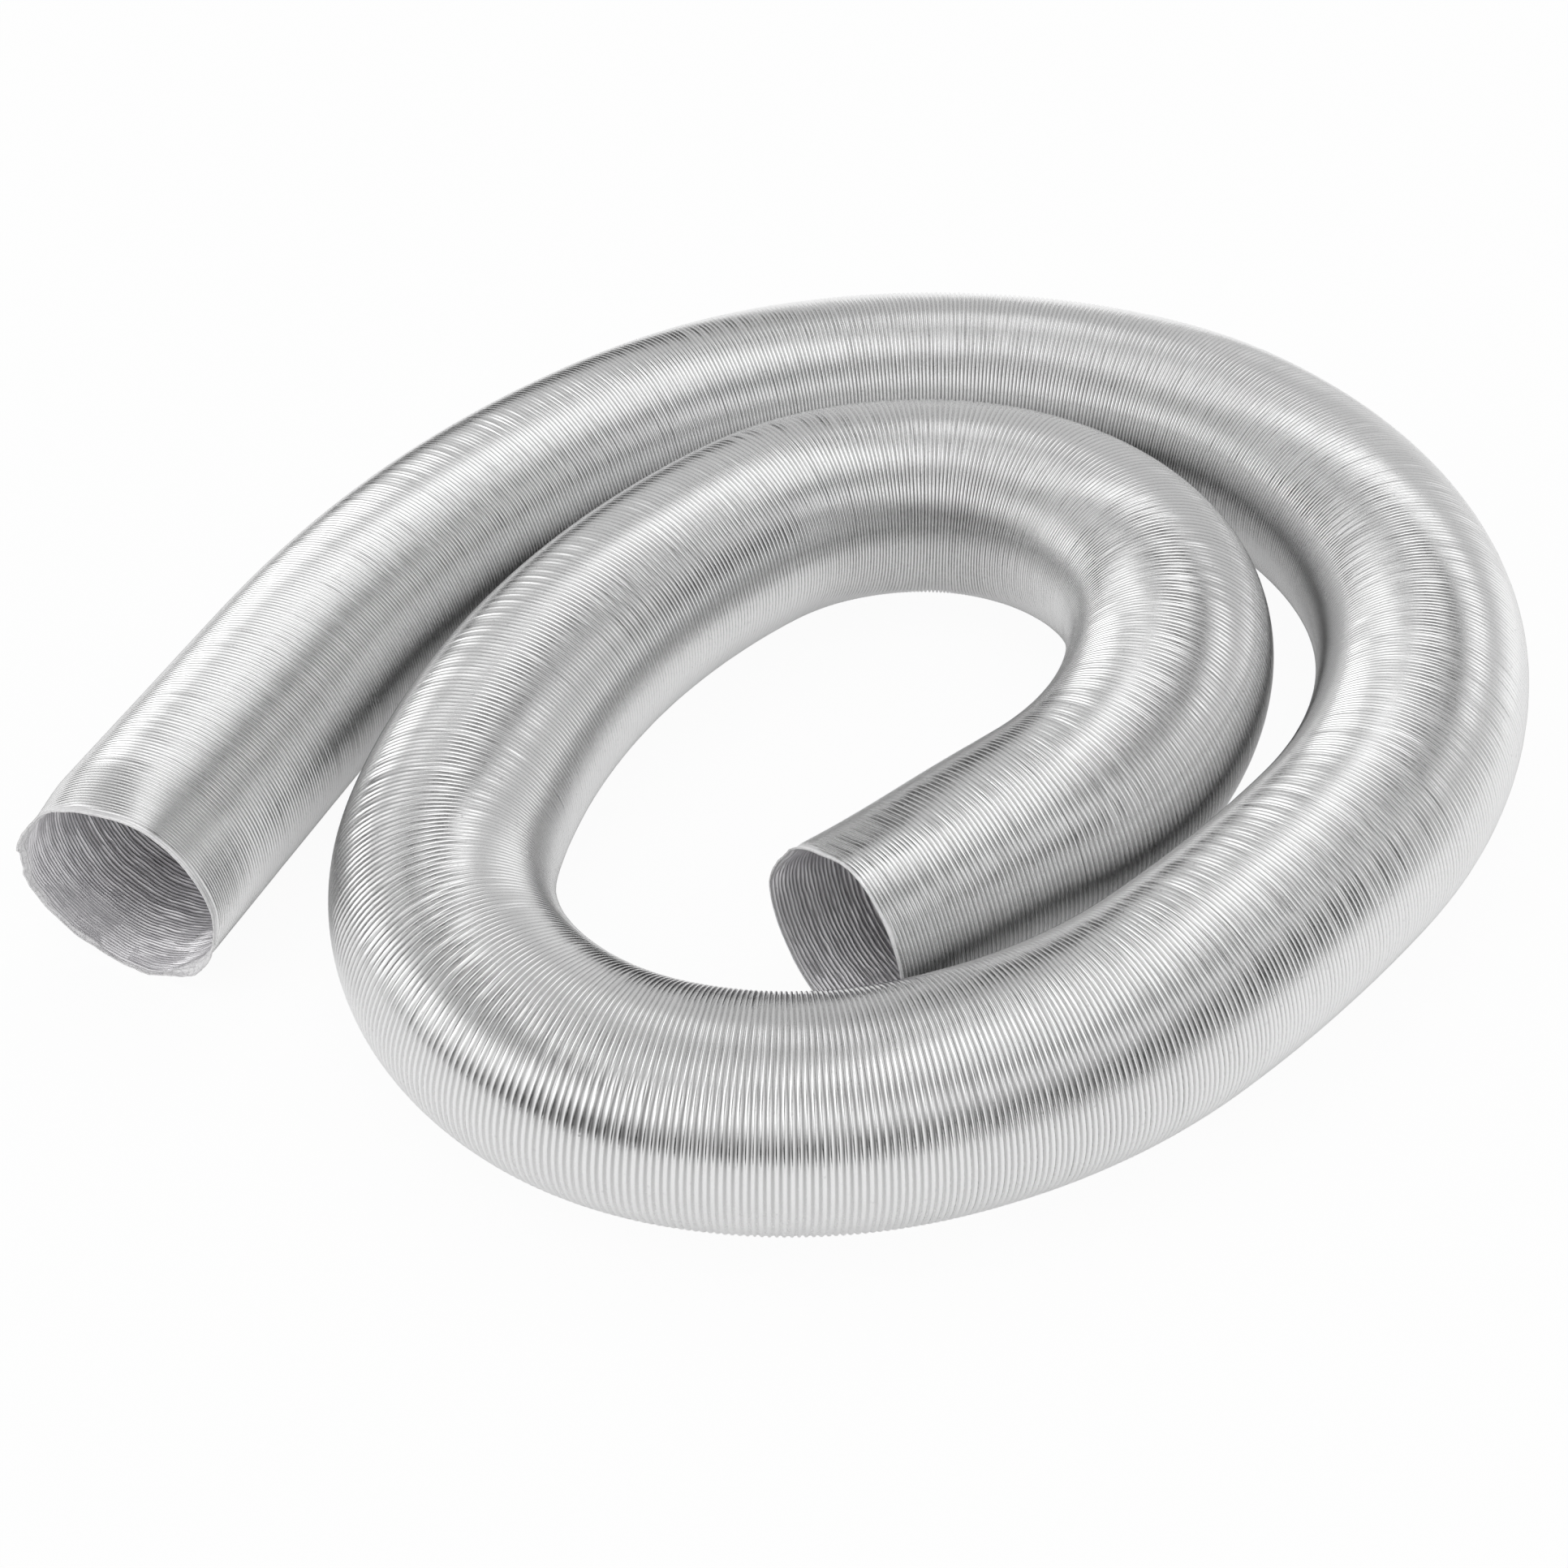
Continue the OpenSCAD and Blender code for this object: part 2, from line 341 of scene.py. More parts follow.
def pleat_rows(first, last, sides):
    """Station, angle, height of the wall above the valleys, and how deep in the fold
    each point lies, for the rings of pleats first to last. A pleat's wall keeps its
    length, so its height is the other side of a right triangle on half its pitch, and
    pleats stand higher inside a bend and lower outside. The pitch there is the one on the
    centre line times the opening, 1 - curvature * radius * cos(theta). The crest and the
    flanks keep their width in mm, so outside a bend the valleys widen."""
    pleat = np.repeat(np.arange(first, last), ROWS)
    pleat = np.append(pleat, last - 1)[:, None]
    ring = np.append(np.tile(np.arange(ROWS), last - first), ROWS)[:, None]
    theta = np.arange(sides)[None, :] * TAU / sides
    pitch = VALLEYS[pleat + 1] - VALLEYS[pleat]
    middle = VALLEYS[pleat] + pitch / 2
    bend = np.interp(middle, LINE_S, LINE_BEND)
    opening = 1 - bend * CREST_R * np.cos(theta)
    crest = np.minimum(CREST_HALF / opening, CREST_MOST)
    foot = np.minimum(FLANK_END / opening, FLANK_MOST)
    places = [-0.5, -foot, -crest, 0.0, crest, foot, 0.5]
    offset = np.choose(ring, [place + 0 * opening for place in places])
    sway = SWAY * wander(middle, theta, 40, 5, 31) * smoothstep(from_cut(middle) / SWAY_FROM)
    lean = LEAN * wander(middle, theta, 2.0, 9, 33)
    level = np.array(LEVELS + (0.0,))[ring] + 0 * theta
    station = middle + (offset + lean * level) * pitch + sway
    half = pitch * opening / 2
    height = np.sqrt(np.maximum((FOLD_LEN / 2) ** 2 - half**2, SHALLOWEST**2))
    height = height * (1 + UNEVEN * wander(middle, theta, 2.0, 14, 32))
    return station, theta + 0 * station, height, level


def outer_surface(first, last, sides):
    """The duct's outside, as a grid of radii: the crests' radius, less the pleat's height
    below its crest, less long soft dents and small dimples. At a cut end the pleats are
    pressed flat, and the crumpled parts of the lip flare outwards."""
    station, theta, height, level = pleat_rows(first, last, sides)
    flat = lip_share(station, theta)
    edge = edge_share(station, theta)
    crumple = crumple_of(station, theta) * flat
    sunk = height * ((1 - level) * (1 - 0.92 * flat) + 0.4 * flat)
    flare = FLARE * lip_width(station, theta) * edge * crumple * (1 - near_angle(theta, *ON_FLOOR))
    dent = DENT * (1 + wander(station, theta, 55, 6, 41)) / 2
    dimple = DIMPLE * np.maximum(wander(station, theta, 9, 22, 42) - 0.25, 0) / 0.75
    folds = LIP_FOLD * creased(station, theta, 1.7, 60, 43) * crumple
    radius = CREST_R - sunk - dent - dimple - folds + flare - pressed_in(station, theta)
    pale = np.maximum(edge, flat * (0.45 + 0.55 * crumple))
    place = station + cut_shift(station, theta)
    return {
        "station": place, "theta": theta, "radius": radius, "lip": pale, "fold": 1 - level,
        "depth": height * level,
    }


def inner_surface(first, last, sides, crinkled=True):
    """The duct's inside: the outside less the wall. The pleats' folds show there as thin
    ridges. Crinkled foil bridges their grooves, steps them to and fro at creases that run
    along the duct and breaks them up. The wall is a little thicker at the cut, and along
    the outer half of the duct the ridges break at BREAK_AT degrees."""
    grid = outer_surface(first, last, sides)
    radius, theta, station = grid["radius"] - WALL, grid["theta"], grid["station"]
    inward = grid["fold"]
    if crinkled:
        calm = smoothstep(from_cut(station) / CALM_FROM)
        step = RIDGE_STEP * wander(station, theta, 14, 24, 51, steep=4)
        kink = either_end(station, *RIDGE_KINKS) * wander(station, theta, 2.4, 60, 52)
        speck = np.maximum(wander(station, theta, 1.9, 64, 53) - 0.35, 0)
        uneven = wander(station, theta, 1.9, 40, 54)
        radius = radius - GROOVE_FILL * grid["depth"] * calm
        radius = radius - (SPECK * speck + RIDGE_UNEVEN * uneven) * inward * calm
        radius = radius - LIP_BEAD * edge_share(station, theta) ** 3
        off = (theta - math.radians(BREAK_AT) + math.pi) % TAU - math.pi
        depth = 0.15 + 0.15 * wander(station, 0 * theta, 6, 1, 55)
        broken = depth * np.sign(off) * np.exp(-np.abs(off) / 0.3)
        broken = either_end(station, broken, 0.0)
        station = station + (step + kink + broken) * calm
    grid.update(radius=radius, station=station, fold=1 - inward)
    return grid


# --- meshes ----------------------------------------------------------------------------


def skin_faces(rows, sides, start, outward):
    """Four-cornered faces between neighbouring rings of a grid, closed round."""
    row = np.arange(rows - 1)[:, None] * sides
    side = np.arange(sides)[None, :]
    beside = (side + 1) % sides
    corners = [row + side, row + beside, row + sides + beside, row + sides + side]
    if not outward:
        corners.reverse()
    return np.stack(corners, axis=-1).reshape(-1, 4) + start


def rim_faces(few, many, few_start, many_start, forward):
    """Triangles between two rings round the same cut, the second with a whole number of
    times as many points: a fan at each point of the first, and one to its neighbour."""
    times = many // few
    point = np.arange(few)
    near = np.repeat(point, times)
    step = np.arange(many)
    fans = np.stack([near + few_start, step + many_start, (step + 1) % many + many_start], -1)
    beside = (point + 1) % few
    links = [point + few_start, (point + 1) * times % many + many_start, beside + few_start]
    faces = np.concatenate([fans, np.stack(links, -1)])
    return faces if forward else faces[:, ::-1]


def closed_wall(name, outside, inside):
    """A closed shell between two grids of the same stretch of duct, with flat rims."""
    grids = [outside, inside]
    points = [wall_points(g["station"], g["theta"], g["radius"]) for g in grids]
    shapes = [p.shape[:2] for p in points]
    inside_start = shapes[0][0] * shapes[0][1]
    quads = np.concatenate([
        skin_faces(*shapes[0], 0, True),
        skin_faces(*shapes[1], inside_start, False),
    ])
    rims = []
    for at_start in (True, False):
        rings = [
            (sides, start + (0 if at_start else (rows - 1) * sides))
            for (rows, sides), start in zip(shapes, (0, inside_start))
        ]
        outer_is_few = rings[0][0] <= rings[1][0]
        few, many = rings if outer_is_few else rings[::-1]
        forward = at_start == outer_is_few
        rims.append(rim_faces(few[0], many[0], few[1], many[1], forward))
    triangles = np.concatenate(rims)
    vertices = np.concatenate([p.reshape(-1, 3) for p in points])
    mesh = bpy.data.meshes.new(name)
    mesh.vertices.add(len(vertices))
    mesh.vertices.foreach_set("co", vertices.astype(np.float32).ravel())
    corners = np.concatenate([quads.ravel(), triangles.ravel()])
    sizes = np.repeat([4, 3], [len(quads), len(triangles)])
    mesh.loops.add(len(corners))
    mesh.loops.foreach_set("vertex_index", corners.astype(np.int32))
    mesh.polygons.add(len(sizes))
    starts = np.concatenate([[0], np.cumsum(sizes)[:-1]])
    mesh.polygons.foreach_set("loop_start", starts.astype(np.int32))
    mesh.polygons.foreach_set("use_smooth", sizes == 4)
    for label in ("fold", "lip"):
        values = np.concatenate([g[label].ravel() for g in grids])
        attribute = mesh.attributes.new(label, "FLOAT", "POINT")
        attribute.data.foreach_set("value", values.astype(np.float32))
    mesh.update(calc_edges=True)
    mesh.validate()
    piece = bpy.data.objects.new(name, mesh)
    bpy.context.scene.collection.objects.link(piece)
    return piece


def sunk_by(grid, depth):
    """The same grid, that much nearer to the centre line."""
    return {**grid, "radius": grid["radius"] - depth}


def plain_bore(first, last, sides):
    """The bore where no eye reaches: a ring at each valley and each crest."""
    grid = inner_surface(first, last, sides, crinkled=False)
    return {label: values[:: ROWS // 2] for label, values in grid.items()}


# --- node groups -----------------------------------------------------------------------

LIP_WHITE = (0.97, 0.965, 0.97, 1)
WORN_GREY = (0.62, 0.62, 0.64, 1)
# The grey of the pits is painted shade.
PIT_SHADE_GREY = (0.45, 0.45, 0.46, 1)
# The grey of the lip's creases is painted shade.
CREASE_SHADE_GREY = (0.6, 0.59, 0.61, 1)


def new_group(name, inputs, outputs):
    """A shader node group with those sockets, as (kind, name, default), and its ends."""
    group = bpy.data.node_groups.new(name, "ShaderNodeTree")
    for kind, label, default in inputs:
        socket = group.interface.new_socket(label, in_out="INPUT", socket_type="NodeSocket" + kind)
        if default is not None:
            socket.default_value = default
    for kind, label in outputs:
        group.interface.new_socket(label, in_out="OUTPUT", socket_type="NodeSocket" + kind)
    return group, group.nodes.new("NodeGroupInput"), group.nodes.new("NodeGroupOutput")


def feed(tree, target, source):
    """Links a socket, or sets its value."""
    if isinstance(source, bpy.types.NodeSocket):
        tree.links.new(source, target)
    else:
        target.default_value = source


def maths(tree, operation, *values):
    """A Math node's result."""
    node = tree.nodes.new("ShaderNodeMath")
    node.operation = operation
    for target, value in zip(node.inputs, values):
        feed(tree, target, value)
    return node.outputs[0]


def mixed(tree, share, first, second):
    """A colour between two colours."""
    node = tree.nodes.new("ShaderNodeMix")
    node.data_type = "RGBA"
    feed(tree, node.inputs["Factor"], share)
    feed(tree, node.inputs["A"], first)
    feed(tree, node.inputs["B"], second)
    return node.outputs["Result"]


def ranged(tree, value, low, high, to_low, to_high):
    """A value mapped from one range to another and kept inside it."""
    node = tree.nodes.new("ShaderNodeMapRange")
    for label, number in (
        ("Value", value), ("From Min", low), ("From Max", high),
        ("To Min", to_low), ("To Max", to_high),
    ):
        feed(tree, node.inputs[label], number)
    return node.outputs["Result"]


def noise(tree, coordinates, scale, detail, roughness=0.5):
    """Blender's noise, about 0.5 on average."""
    node = tree.nodes.new("ShaderNodeTexNoise")
    feed(tree, node.inputs["Vector"], coordinates)
    feed(tree, node.inputs["Scale"], scale)
    feed(tree, node.inputs["Detail"], detail)
    feed(tree, node.inputs["Roughness"], roughness)
    return node.outputs["Fac"]


def build_foil_group():
    """Rolled foil: bright on the crests, and darker and rougher in the folds, the darkening
    being painted shade, with a fine grain, small creases and a few pits darkened with
    painted shade. The lip is pale, matt and wrinkled, with painted shade along its creases.
    Fold and Lip say how far a point lies in either; Depth is the power of Fold that sets the
    painted shade; Polish is the roughness; Matt is how much of the foil isn't metallic."""
    group, start, end = new_group(
        "foil_finish_and_fold_shade",
        [
            ("Vector", "Coordinates", None), ("Float", "Fold", 0.0), ("Float", "Lip", 0.0),
            ("Color", "Bright", (0.9, 0.9, 0.91, 1)), ("Color", "Deep", (0.6, 0.6, 0.62, 1)),
            ("Float", "Polish", 0.25), ("Float", "Crinkle", 1.0), ("Float", "Depth", 2.5),
            ("Float", "Matt", 0.0),
        ],
        [("Color", "Color"), ("Float", "Metal"), ("Float", "Roughness"), ("Float", "Height")],
    )
    place = start.outputs["Coordinates"]
    cloud = noise(group, place, 55.0, 3.0)
    grain = noise(group, place, 420.0, 4.0, 0.6)
    fine = noise(group, place, 1500.0, 2.0)
    cells = group.nodes.new("ShaderNodeTexVoronoi")
    cells.feature = "DISTANCE_TO_EDGE"
    feed(group, cells.inputs["Vector"], place)
    feed(group, cells.inputs["Scale"], 260.0)
    crease = ranged(group, cells.outputs["Distance"], 0.0, 0.09, 0.0, 1.0)
    # Painted shade: the colour goes over to the deep one deeper in the folds.
    deep = maths(group, "POWER", start.outputs["Fold"], start.outputs["Depth"])
    base = mixed(group, deep, start.outputs["Bright"], start.outputs["Deep"])
    dull = ranged(group, cloud, 0.35, 0.7, 0.0, 0.06)
    tinted = mixed(group, dull, base, WORN_GREY)
    spots = group.nodes.new("ShaderNodeTexVoronoi")
    feed(group, spots.inputs["Vector"], place)
    feed(group, spots.inputs["Scale"], 190.0)
    pit = ranged(group, spots.outputs["Distance"], 0.07, 0.13, 1.0, 0.0)
    # Painted shade: the pits are darker.
    pit_shaded = mixed(group, maths(group, "MULTIPLY", pit, 0.25), tinted, PIT_SHADE_GREY)
    lip = start.outputs["Lip"]
    paler = mixed(group, maths(group, "MULTIPLY", lip, 0.9), pit_shaded, LIP_WHITE)
    # Painted shade: the lip is darker along its creases.
    wrinkle = maths(group, "MULTIPLY", maths(group, "SUBTRACT", 1.0, crease), lip)
    wrinkled = mixed(group, maths(group, "MULTIPLY", wrinkle, 0.35), paler, CREASE_SHADE_GREY)
    feed(group, end.inputs["Color"], wrinkled)
    metal = maths(group, "MULTIPLY_ADD", lip, -0.95, 1.0)
    shiny = maths(group, "SUBTRACT", 1.0, start.outputs["Matt"])
    feed(group, end.inputs["Metal"], maths(group, "MULTIPLY", metal, shiny))
    worn = ranged(group, grain, 0.3, 0.75, -0.03, 0.05)
    rough = maths(group, "ADD", start.outputs["Polish"], worn)
    rough = maths(group, "MULTIPLY_ADD", start.outputs["Fold"], 0.12, rough)
    rough = maths(group, "MULTIPLY_ADD", lip, 0.25, rough)
    feed(group, end.inputs["Roughness"], rough)
    relief = maths(group, "MULTIPLY_ADD", grain, 0.7, maths(group, "MULTIPLY", fine, 0.25))
    crinkle = maths(group, "MULTIPLY", start.outputs["Crinkle"], 0.5)
    relief = maths(group, "MULTIPLY_ADD", crease, crinkle, relief)
    relief = maths(group, "MULTIPLY_ADD", pit, -1.2, relief)
    feed(group, end.inputs["Height"], maths(group, "MULTIPLY_ADD", wrinkle, -4.0, relief))
    return group


def build_paper_group():
    """Kraft paper: long pale fibres with darker flecks."""
    group, start, end = new_group(
        "paper_fibre",
        [("Vector", "Coordinates", None), ("Color", "Pale", (0.94, 0.93, 0.91, 1)),
         ("Color", "Dark", (0.86, 0.84, 0.81, 1))],
        [("Color", "Color"), ("Float", "Height")],
    )
    fibres = noise(group, start.outputs["Coordinates"], 700.0, 5.0, 0.7)
    flecks = noise(group, start.outputs["Coordinates"], 240.0, 2.0)
    share = ranged(group, fibres, 0.35, 0.65, 0.0, 1.0)
    base = mixed(group, share, start.outputs["Pale"], start.outputs["Dark"])
    dark = ranged(group, flecks, 0.62, 0.7, 0.0, 0.5)
    feed(group, end.inputs["Color"], mixed(group, dark, base, start.outputs["Dark"]))
    feed(group, end.inputs["Height"], fibres)
    return group


# --- materials -------------------------------------------------------------------------


def new_material(name):
    material = bpy.data.materials.new(name)
    material.use_nodes = True
    tree = material.node_tree
    return material, tree, tree.nodes["Principled BSDF"]


def bumped(tree, shader, height, strength, distance):
    """Feeds a height into the shader's normal."""
    bump = tree.nodes.new("ShaderNodeBump")
    bump.inputs["Strength"].default_value = strength
    bump.inputs["Distance"].default_value = distance
    feed(tree, bump.inputs["Height"], height)
    feed(tree, shader.inputs["Normal"], bump.outputs["Normal"])


def attribute(tree, label):
    node = tree.nodes.new("ShaderNodeAttribute")
    node.attribute_name = label
    return node.outputs["Fac"]


def foil_material(name, group, bump_depth, **finish_values):
    """Metal foil whose finish follows the fold and the lip of the piece that it is on, with
    painted shade in the folds. Seen aslant, the folds are hidden behind the crests, and their
    painted shade fades."""
    material, tree, shader = new_material(name)
    place = tree.nodes.new("ShaderNodeTexCoord").outputs["Object"]
    finish = tree.nodes.new("ShaderNodeGroup")
    finish.node_tree = group
    # Painted shade: how much of the folds' painted shade stays, less where the foil is seen
    # aslant.
    aslant = tree.nodes.new("ShaderNodeLayerWeight").outputs["Facing"]
    fold_shade_kept = maths(tree, "MULTIPLY_ADD", maths(tree, "POWER", aslant, 2.0), -0.85, 1.0)
    fold = maths(tree, "MULTIPLY", attribute(tree, "fold"), fold_shade_kept)
    finish_values.update(Coordinates=place, Fold=fold, Lip=attribute(tree, "lip"))
    for label, value in finish_values.items():
        feed(tree, finish.inputs[label], value)
    feed(tree, shader.inputs["Base Color"], finish.outputs["Color"])
    feed(tree, shader.inputs["Metallic"], finish.outputs["Metal"])
    feed(tree, shader.inputs["Roughness"], finish.outputs["Roughness"])
    bumped(tree, shader, finish.outputs["Height"], 0.5, bump_depth)
    return material


def paper_material(name, group):
    material, tree, shader = new_material(name)
    shader.inputs["Roughness"].default_value = 0.85
    place = tree.nodes.new("ShaderNodeTexCoord").outputs["Object"]
    fibre = tree.nodes.new("ShaderNodeGroup")
    fibre.node_tree = group
    feed(tree, fibre.inputs["Coordinates"], place)
    feed(tree, shader.inputs["Base Color"], fibre.outputs["Color"])
    bumped(tree, shader, fibre.outputs["Height"], 0.4, 0.0001)
    return material


foil_group = build_foil_group()
# In both foils the deep colour is painted shade in the folds.
outer_foil = foil_material(
    "outer_foil", foil_group, 0.00002,
    Bright=(0.80, 0.80, 0.80, 1), Deep=(0.46, 0.46, 0.46, 1),
    Polish=0.19, Crinkle=0.4, Depth=2.5, Matt=0.0,
)
# The inner foil's bright colour is lighter than the outer foil's. Its faint tint is its own tone,
# and the extra lightness is painted light that makes up for the dimmer light in the bore.
inner_foil = foil_material(
    "inner_foil", foil_group, 0.00006,
    Bright=(0.98, 0.97, 0.985, 1), Deep=(0.64, 0.63, 0.65, 1),
    Polish=0.34, Crinkle=1.0, Depth=1.2, Matt=0.35,
)
kraft_paper = paper_material("kraft_paper", build_paper_group())

# --- pieces ----------------------------------------------------------------------------

OUTER_SIDES = 64            # points round the outside
MOUTH_SIDES = 128           # points round the plies where they show at a mouth
DEEP_SIDES = 32             # points round the bore deep inside
PAPER_BACK = 0.8            # how far towards the next ring the paper ends, at a cut
COIL_PIECES = 4


def finish_piece(piece, material, nodes):
    piece.data.materials.append(material)
    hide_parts(*nodes)


def held_back(grid, first, last):
    """The same grid, its ring at a cut end of the duct drawn back along the wall."""
    held = {label: values.copy() for label, values in grid.items()}
    for at_cut, ring, beside in ((first == 0, 0, 1), (last == len(VALLEYS) - 1, -1, -2)):
        for label in ("station", "radius") if at_cut else ():
            held[label][ring] += PAPER_BACK * (held[label][beside] - held[label][ring])
    return held


def plied_stretch(prefix, first, last, body, nodes):
    """A stretch whose three plies are separate pieces: the outer foil, the paper and the
    inner foil, each as thick as it is and lying on the next."""
    outside = outer_surface(first, last, MOUTH_SIDES)
    bore = inner_surface(first, last, MOUTH_SIDES)
    paper = [
        held_back(sunk_by(outside, depth), first, last)
        for depth in (FOIL + BOND, WALL - FOIL - BOND)
    ]
    plies = [
        ("outer_foil", outside, sunk_by(outside, FOIL), outer_foil, "outer_foil"),
        ("kraft_paper", *paper, kraft_paper, "kraft_paper"),
        ("inner_foil", sunk_by(outside, WALL - FOIL), bore, inner_foil, "inner_foil"),
    ]
    for (ply, outer, inner, material, slot), node in zip(plies, nodes):
        piece = closed_wall(f"{prefix}_{ply}_skin", outer, inner)
        finish_piece(piece, material, [node])
        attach(piece, body)


def build_laminate(name, first, last, bore, node):
    """A stretch of the bonded laminate, as one wall. The faces of its inner skin follow
    those of the outer one, and have the second material."""
    piece = closed_wall(name, outer_surface(first, last, OUTER_SIDES), bore)
    piece.data.materials.append(outer_foil)
    finish_piece(piece, inner_foil, [node])
    outer_faces = (last - first) * ROWS * OUTER_SIDES
    index = np.zeros(len(piece.data.polygons), np.int32)
    index[outer_faces:] = 1
    piece.data.polygons.foreach_set("material_index", index)
    return piece


def bend_between(piece):
    """Bakes the piece's place into its mesh."""
    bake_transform(piece)


mouth, cuff_end, stretch_end, run_end, bend_end, turn_start, turn_end, inner_mouth = (
    pleat_at(s)
    for s in (0, CUFF_END, STRETCH_END, RUN_END, OUTER_BEND_END, INNER_BEND_START,
              INNER_END_START, DUCT_LEN)
)

plied_stretch(
    "outer_mouth", mouth, cuff_end, "outer_cuff",
    ["mouth_outer_foil", "mouth_kraft_paper", "mouth_inner_foil"],
)

stretch = build_laminate(
    "stretch_laminate", cuff_end, stretch_end,
    inner_surface(cuff_end, stretch_end, MOUTH_SIDES), "stretch_pleats",
)
bend_between(stretch)

plied_stretch(
    "outer_run", stretch_end, run_end, "outer_run",
    ["run_outer_foil", "run_kraft_paper", "run_inner_foil"],
)

outer_bend = build_laminate(
    "outer_bend_laminate", run_end, bend_end,
    inner_surface(run_end, bend_end, OUTER_SIDES), "outer_bend",
)
bend_between(
    outer_bend,
)

cuts = np.linspace(bend_end, turn_start, COIL_PIECES + 1).round().astype(int)
for number in range(COIL_PIECES):
    first, last = int(cuts[number]), int(cuts[number + 1])
    part = build_laminate(
        f"coil_laminate_{number + 1}", first, last, plain_bore(first, last, DEEP_SIDES), "coil"
    )
    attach(part, "coil")

inner_bend = build_laminate(
    "inner_bend_laminate", turn_start, turn_end,
    inner_surface(turn_start, turn_end, OUTER_SIDES), "inner_bend",
)
bend_between(
    inner_bend,
)

plied_stretch(
    "inner_mouth", turn_end, inner_mouth, "inner_end",
    ["inner_end_outer_foil", "inner_end_kraft_paper", "inner_end_inner_foil"],
)

# --- floor, light and camera -------------------------------------------------------------

FLOOR_HALF = 6.0            # metres
FLOOR_DROP = 0.0003         # the floor lies just under the lowest crests
GLOW_SEEN = 0.95            # how much of the floor's white is its own glow, to the camera
GLOW_MIRRORED = 0.25        # glow added to the lit floor where the foil mirrors it


def build_floor():
    """A white floor. The camera sees it mostly as its own glow, with a soft shadow, and
    the foil mirrors it as it is lit, with a little glow added."""
    corners = [(x * FLOOR_HALF, y * FLOOR_HALF, -FLOOR_DROP) for x, y in
               ((-1, -1), (1, -1), (1, 1), (-1, 1))]
    mesh = bpy.data.meshes.new("floor")
    mesh.from_pydata(corners, [], [(0, 1, 2, 3)])
    floor = bpy.data.objects.new("floor", mesh)
    bpy.context.scene.collection.objects.link(floor)
    material = bpy.data.materials.new("floor_white")
    material.use_nodes = True
    tree = material.node_tree
    tree.nodes.clear()
    diffuse = tree.nodes.new("ShaderNodeBsdfDiffuse")
    diffuse.inputs["Color"].default_value = (0.9, 0.9, 0.9, 1)
    glow = tree.nodes.new("ShaderNodeEmission")
    path = tree.nodes.new("ShaderNodeLightPath")
    share = maths(tree, "MULTIPLY", path.outputs["Is Camera Ray"], GLOW_SEEN)
    mix = tree.nodes.new("ShaderNodeMixShader")
    feed(tree, mix.inputs[0], share)
    feed(tree, mix.inputs[1], diffuse.outputs[0])
    feed(tree, mix.inputs[2], glow.outputs[0])
    mirrored = tree.nodes.new("ShaderNodeEmission")
    added = maths(tree, "MULTIPLY", path.outputs["Is Glossy Ray"], GLOW_MIRRORED)
    feed(tree, mirrored.inputs["Strength"], added)
    both = tree.nodes.new("ShaderNodeAddShader")
    feed(tree, both.inputs[0], mix.outputs[0])
    feed(tree, both.inputs[1], mirrored.outputs[0])
    out = tree.nodes.new("ShaderNodeOutputMaterial")
    feed(tree, out.inputs["Surface"], both.outputs[0])
    mesh.materials.append(material)


# Soft light from large bright areas far away: the direction of each one's middle
# (degrees from +X towards +Y, and above the floor), half its width in degrees, and its
# brightness over that of the room. Below zero it is a darker area of the room.
ROOM = 0.63
EDGE_SOFTNESS = 0.4         # the share of an area's half width over which its edge fades, each way
SOFT_LIGHTS = [
    (185, 17, 14, 1.5),
    (341, 6, 19, 0.65),
    (231, 33, 23, 1.1),
    (78, 55, 13, 1.2),
    (202, 77, 26, 1.2),
    (247, -1, 30, -1.2),
    (235, 54, 17, -1.35),
    (149, 63, 12, -1.3),
    (147, 0, 16, -1.0),
    (310, 44, 11, 1.3),
    (18, 10, 13, 0.25),
    (298, 56, 14, -0.7),
]


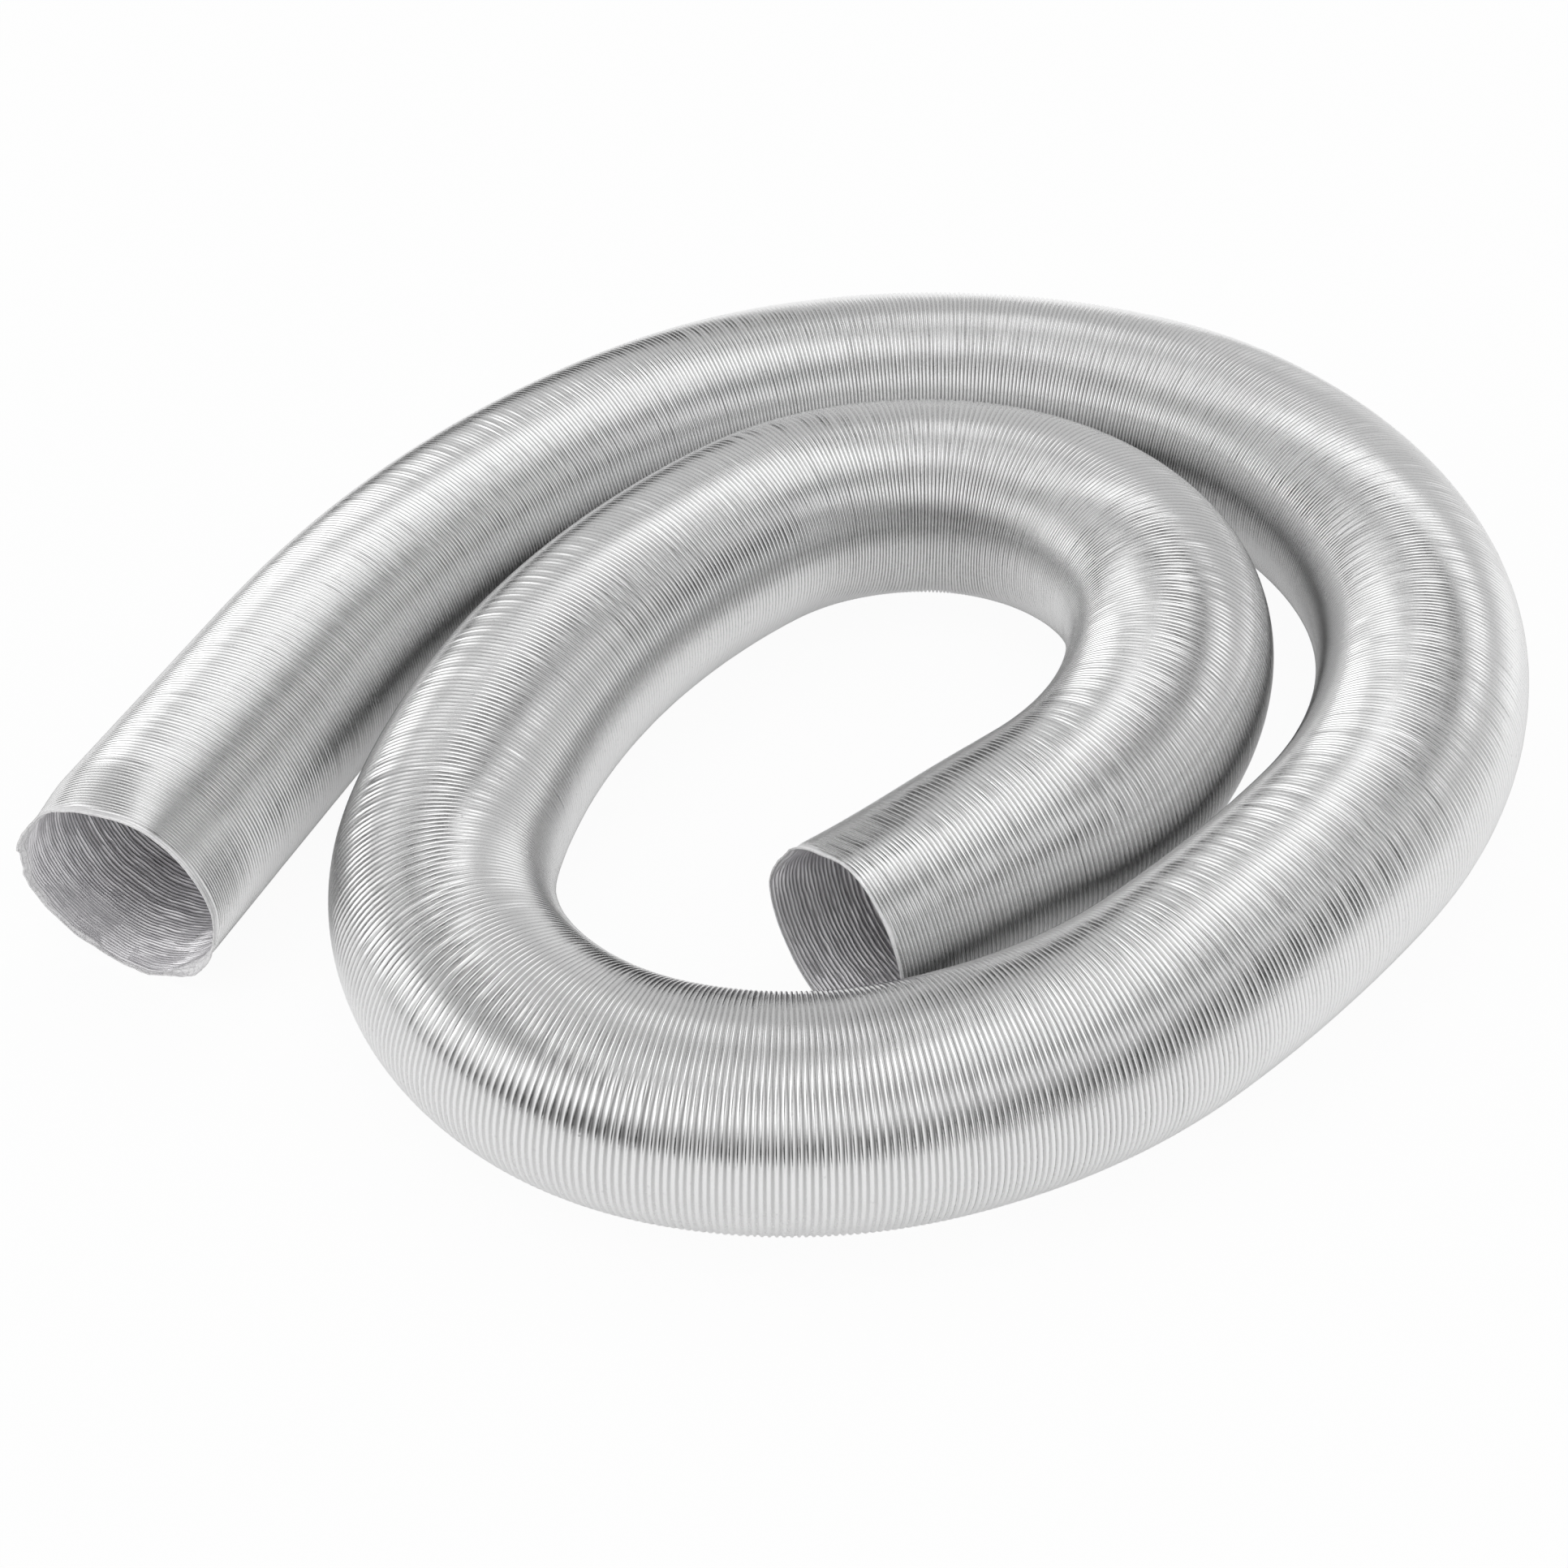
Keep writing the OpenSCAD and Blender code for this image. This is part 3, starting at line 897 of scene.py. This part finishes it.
def build_world():
    """The room's even light plus the soft round lights, each with a smoothstep edge, and
    never below zero. The camera sees white."""
    world = bpy.data.worlds.new("studio")
    bpy.context.scene.world = world
    world.use_nodes = True
    tree = world.node_tree
    tree.nodes.clear()
    way = tree.nodes.new("ShaderNodeTexCoord").outputs["Generated"]
    total = ROOM
    for azimuth, height, half_width, brightness in SOFT_LIGHTS:
        flat = math.cos(math.radians(height))
        towards = (
            flat * math.cos(math.radians(azimuth)),
            flat * math.sin(math.radians(azimuth)),
            math.sin(math.radians(height)),
        )
        dot = tree.nodes.new("ShaderNodeVectorMath")
        dot.operation = "DOT_PRODUCT"
        feed(tree, dot.inputs[0], way)
        feed(tree, dot.inputs[1], towards)
        angle = maths(tree, "ARCCOSINE", dot.outputs["Value"])
        node = tree.nodes.new("ShaderNodeMapRange")
        node.interpolation_type = "SMOOTHSTEP"
        feed(tree, node.inputs["Value"], angle)
        node.inputs["From Min"].default_value = math.radians(half_width * (1 + EDGE_SOFTNESS))
        node.inputs["From Max"].default_value = math.radians(half_width * (1 - EDGE_SOFTNESS))
        node.inputs["To Max"].default_value = brightness
        total = maths(tree, "ADD", total, node.outputs["Result"])
    path = tree.nodes.new("ShaderNodeLightPath")
    light = tree.nodes.new("ShaderNodeBackground")
    light.inputs["Color"].default_value = (1, 1, 1, 1)
    feed(tree, light.inputs["Strength"], maths(tree, "MAXIMUM", total, 0.0))
    white = tree.nodes.new("ShaderNodeBackground")
    white.inputs["Color"].default_value = (1, 1, 1, 1)
    mix = tree.nodes.new("ShaderNodeMixShader")
    feed(tree, mix.inputs[0], path.outputs["Is Camera Ray"])
    feed(tree, mix.inputs[1], light.outputs[0])
    feed(tree, mix.inputs[2], white.outputs[0])
    out = tree.nodes.new("ShaderNodeOutputWorld")
    feed(tree, out.inputs["Surface"], mix.outputs[0])


CAMERA_AT = (-6.68, -867.97, 763.09)
CAMERA_AIM = (-7.73, -5.17, -0.5)
LENS = 66.12                # on a sensor 36 mm wide


def build_camera():
    data = bpy.data.cameras.new("camera")
    data.lens = LENS
    data.sensor_width = 36.0
    camera = bpy.data.objects.new("camera", data)
    bpy.context.scene.collection.objects.link(camera)
    place, aim = Vector(CAMERA_AT) * MM, Vector(CAMERA_AIM) * MM
    camera.location = place
    camera.rotation_euler = (aim - place).to_track_quat("-Z", "Y").to_euler()
    bpy.context.scene.camera = camera


build_floor()
build_world()
build_camera()
bpy.context.scene.view_settings.view_transform = "Standard"
